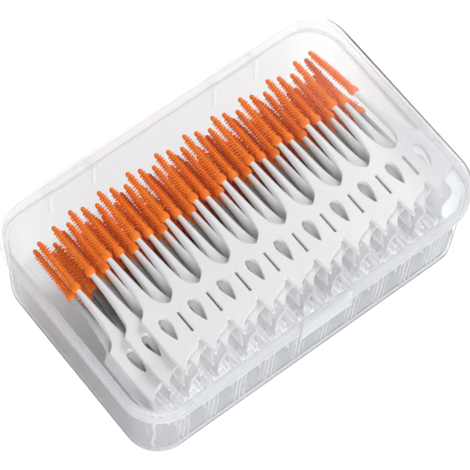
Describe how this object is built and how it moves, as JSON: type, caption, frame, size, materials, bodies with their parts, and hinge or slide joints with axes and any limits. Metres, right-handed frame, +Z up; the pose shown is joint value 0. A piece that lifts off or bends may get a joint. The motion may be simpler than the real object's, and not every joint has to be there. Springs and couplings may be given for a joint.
{
  "type": "boxed interdental brush set",
  "caption": "Clear hinged case filled with fourteen stacked moulded strips of ten soft interdental brushes each: white handles with leaf-shaped holes and slim necks, orange bristled sleeves.",
  "frame": {"origin": "centre of the case's skirt outline seen from above, on the plane of the flat underside", "axes": "+X along the case, -Y towards the latch tab, +Y towards the hinge and the brush tips, +Z up"},
  "size_m": [0.11, 0.0762, 0.034],
  "materials": {
    "clear_case": "translucent moulded plastic with a soft sheen",
    "handle": "white moulded plastic, satin",
    "sleeve": "soft moulded elastomer, satin"
  },
  "bodies": {
    "case": {"tray": "clear_case", "strip_1": "handle", "strip_2": "handle", "strip_3": "handle", "strip_4": "handle", "strip_5": "handle", "strip_6": "handle", "strip_7": "handle", "strip_8": "handle", "strip_9": "handle", "strip_10": "handle", "strip_11": "handle", "strip_12": "handle", "strip_13": "handle", "strip_14": "handle", "sleeves_1": "sleeve", "sleeves_2": "sleeve", "sleeves_3": "sleeve", "sleeves_4": "sleeve", "sleeves_5": "sleeve", "sleeves_6": "sleeve", "sleeves_7": "sleeve", "sleeves_8": "sleeve", "sleeves_9": "sleeve", "sleeves_10": "sleeve", "sleeves_11": "sleeve", "sleeves_12": "sleeve", "sleeves_13": "sleeve", "sleeves_14": "sleeve"},
    "cover": {"lid": "clear_case"}
  },
  "joints": [
    {"name": "lid_hinge", "type": "hinge", "parent": "case", "child": "cover", "pos_m": [0, 0.0376, 0.02255], "axis": [-1, 0, 0], "range_deg": [0, 180]}
  ]
}
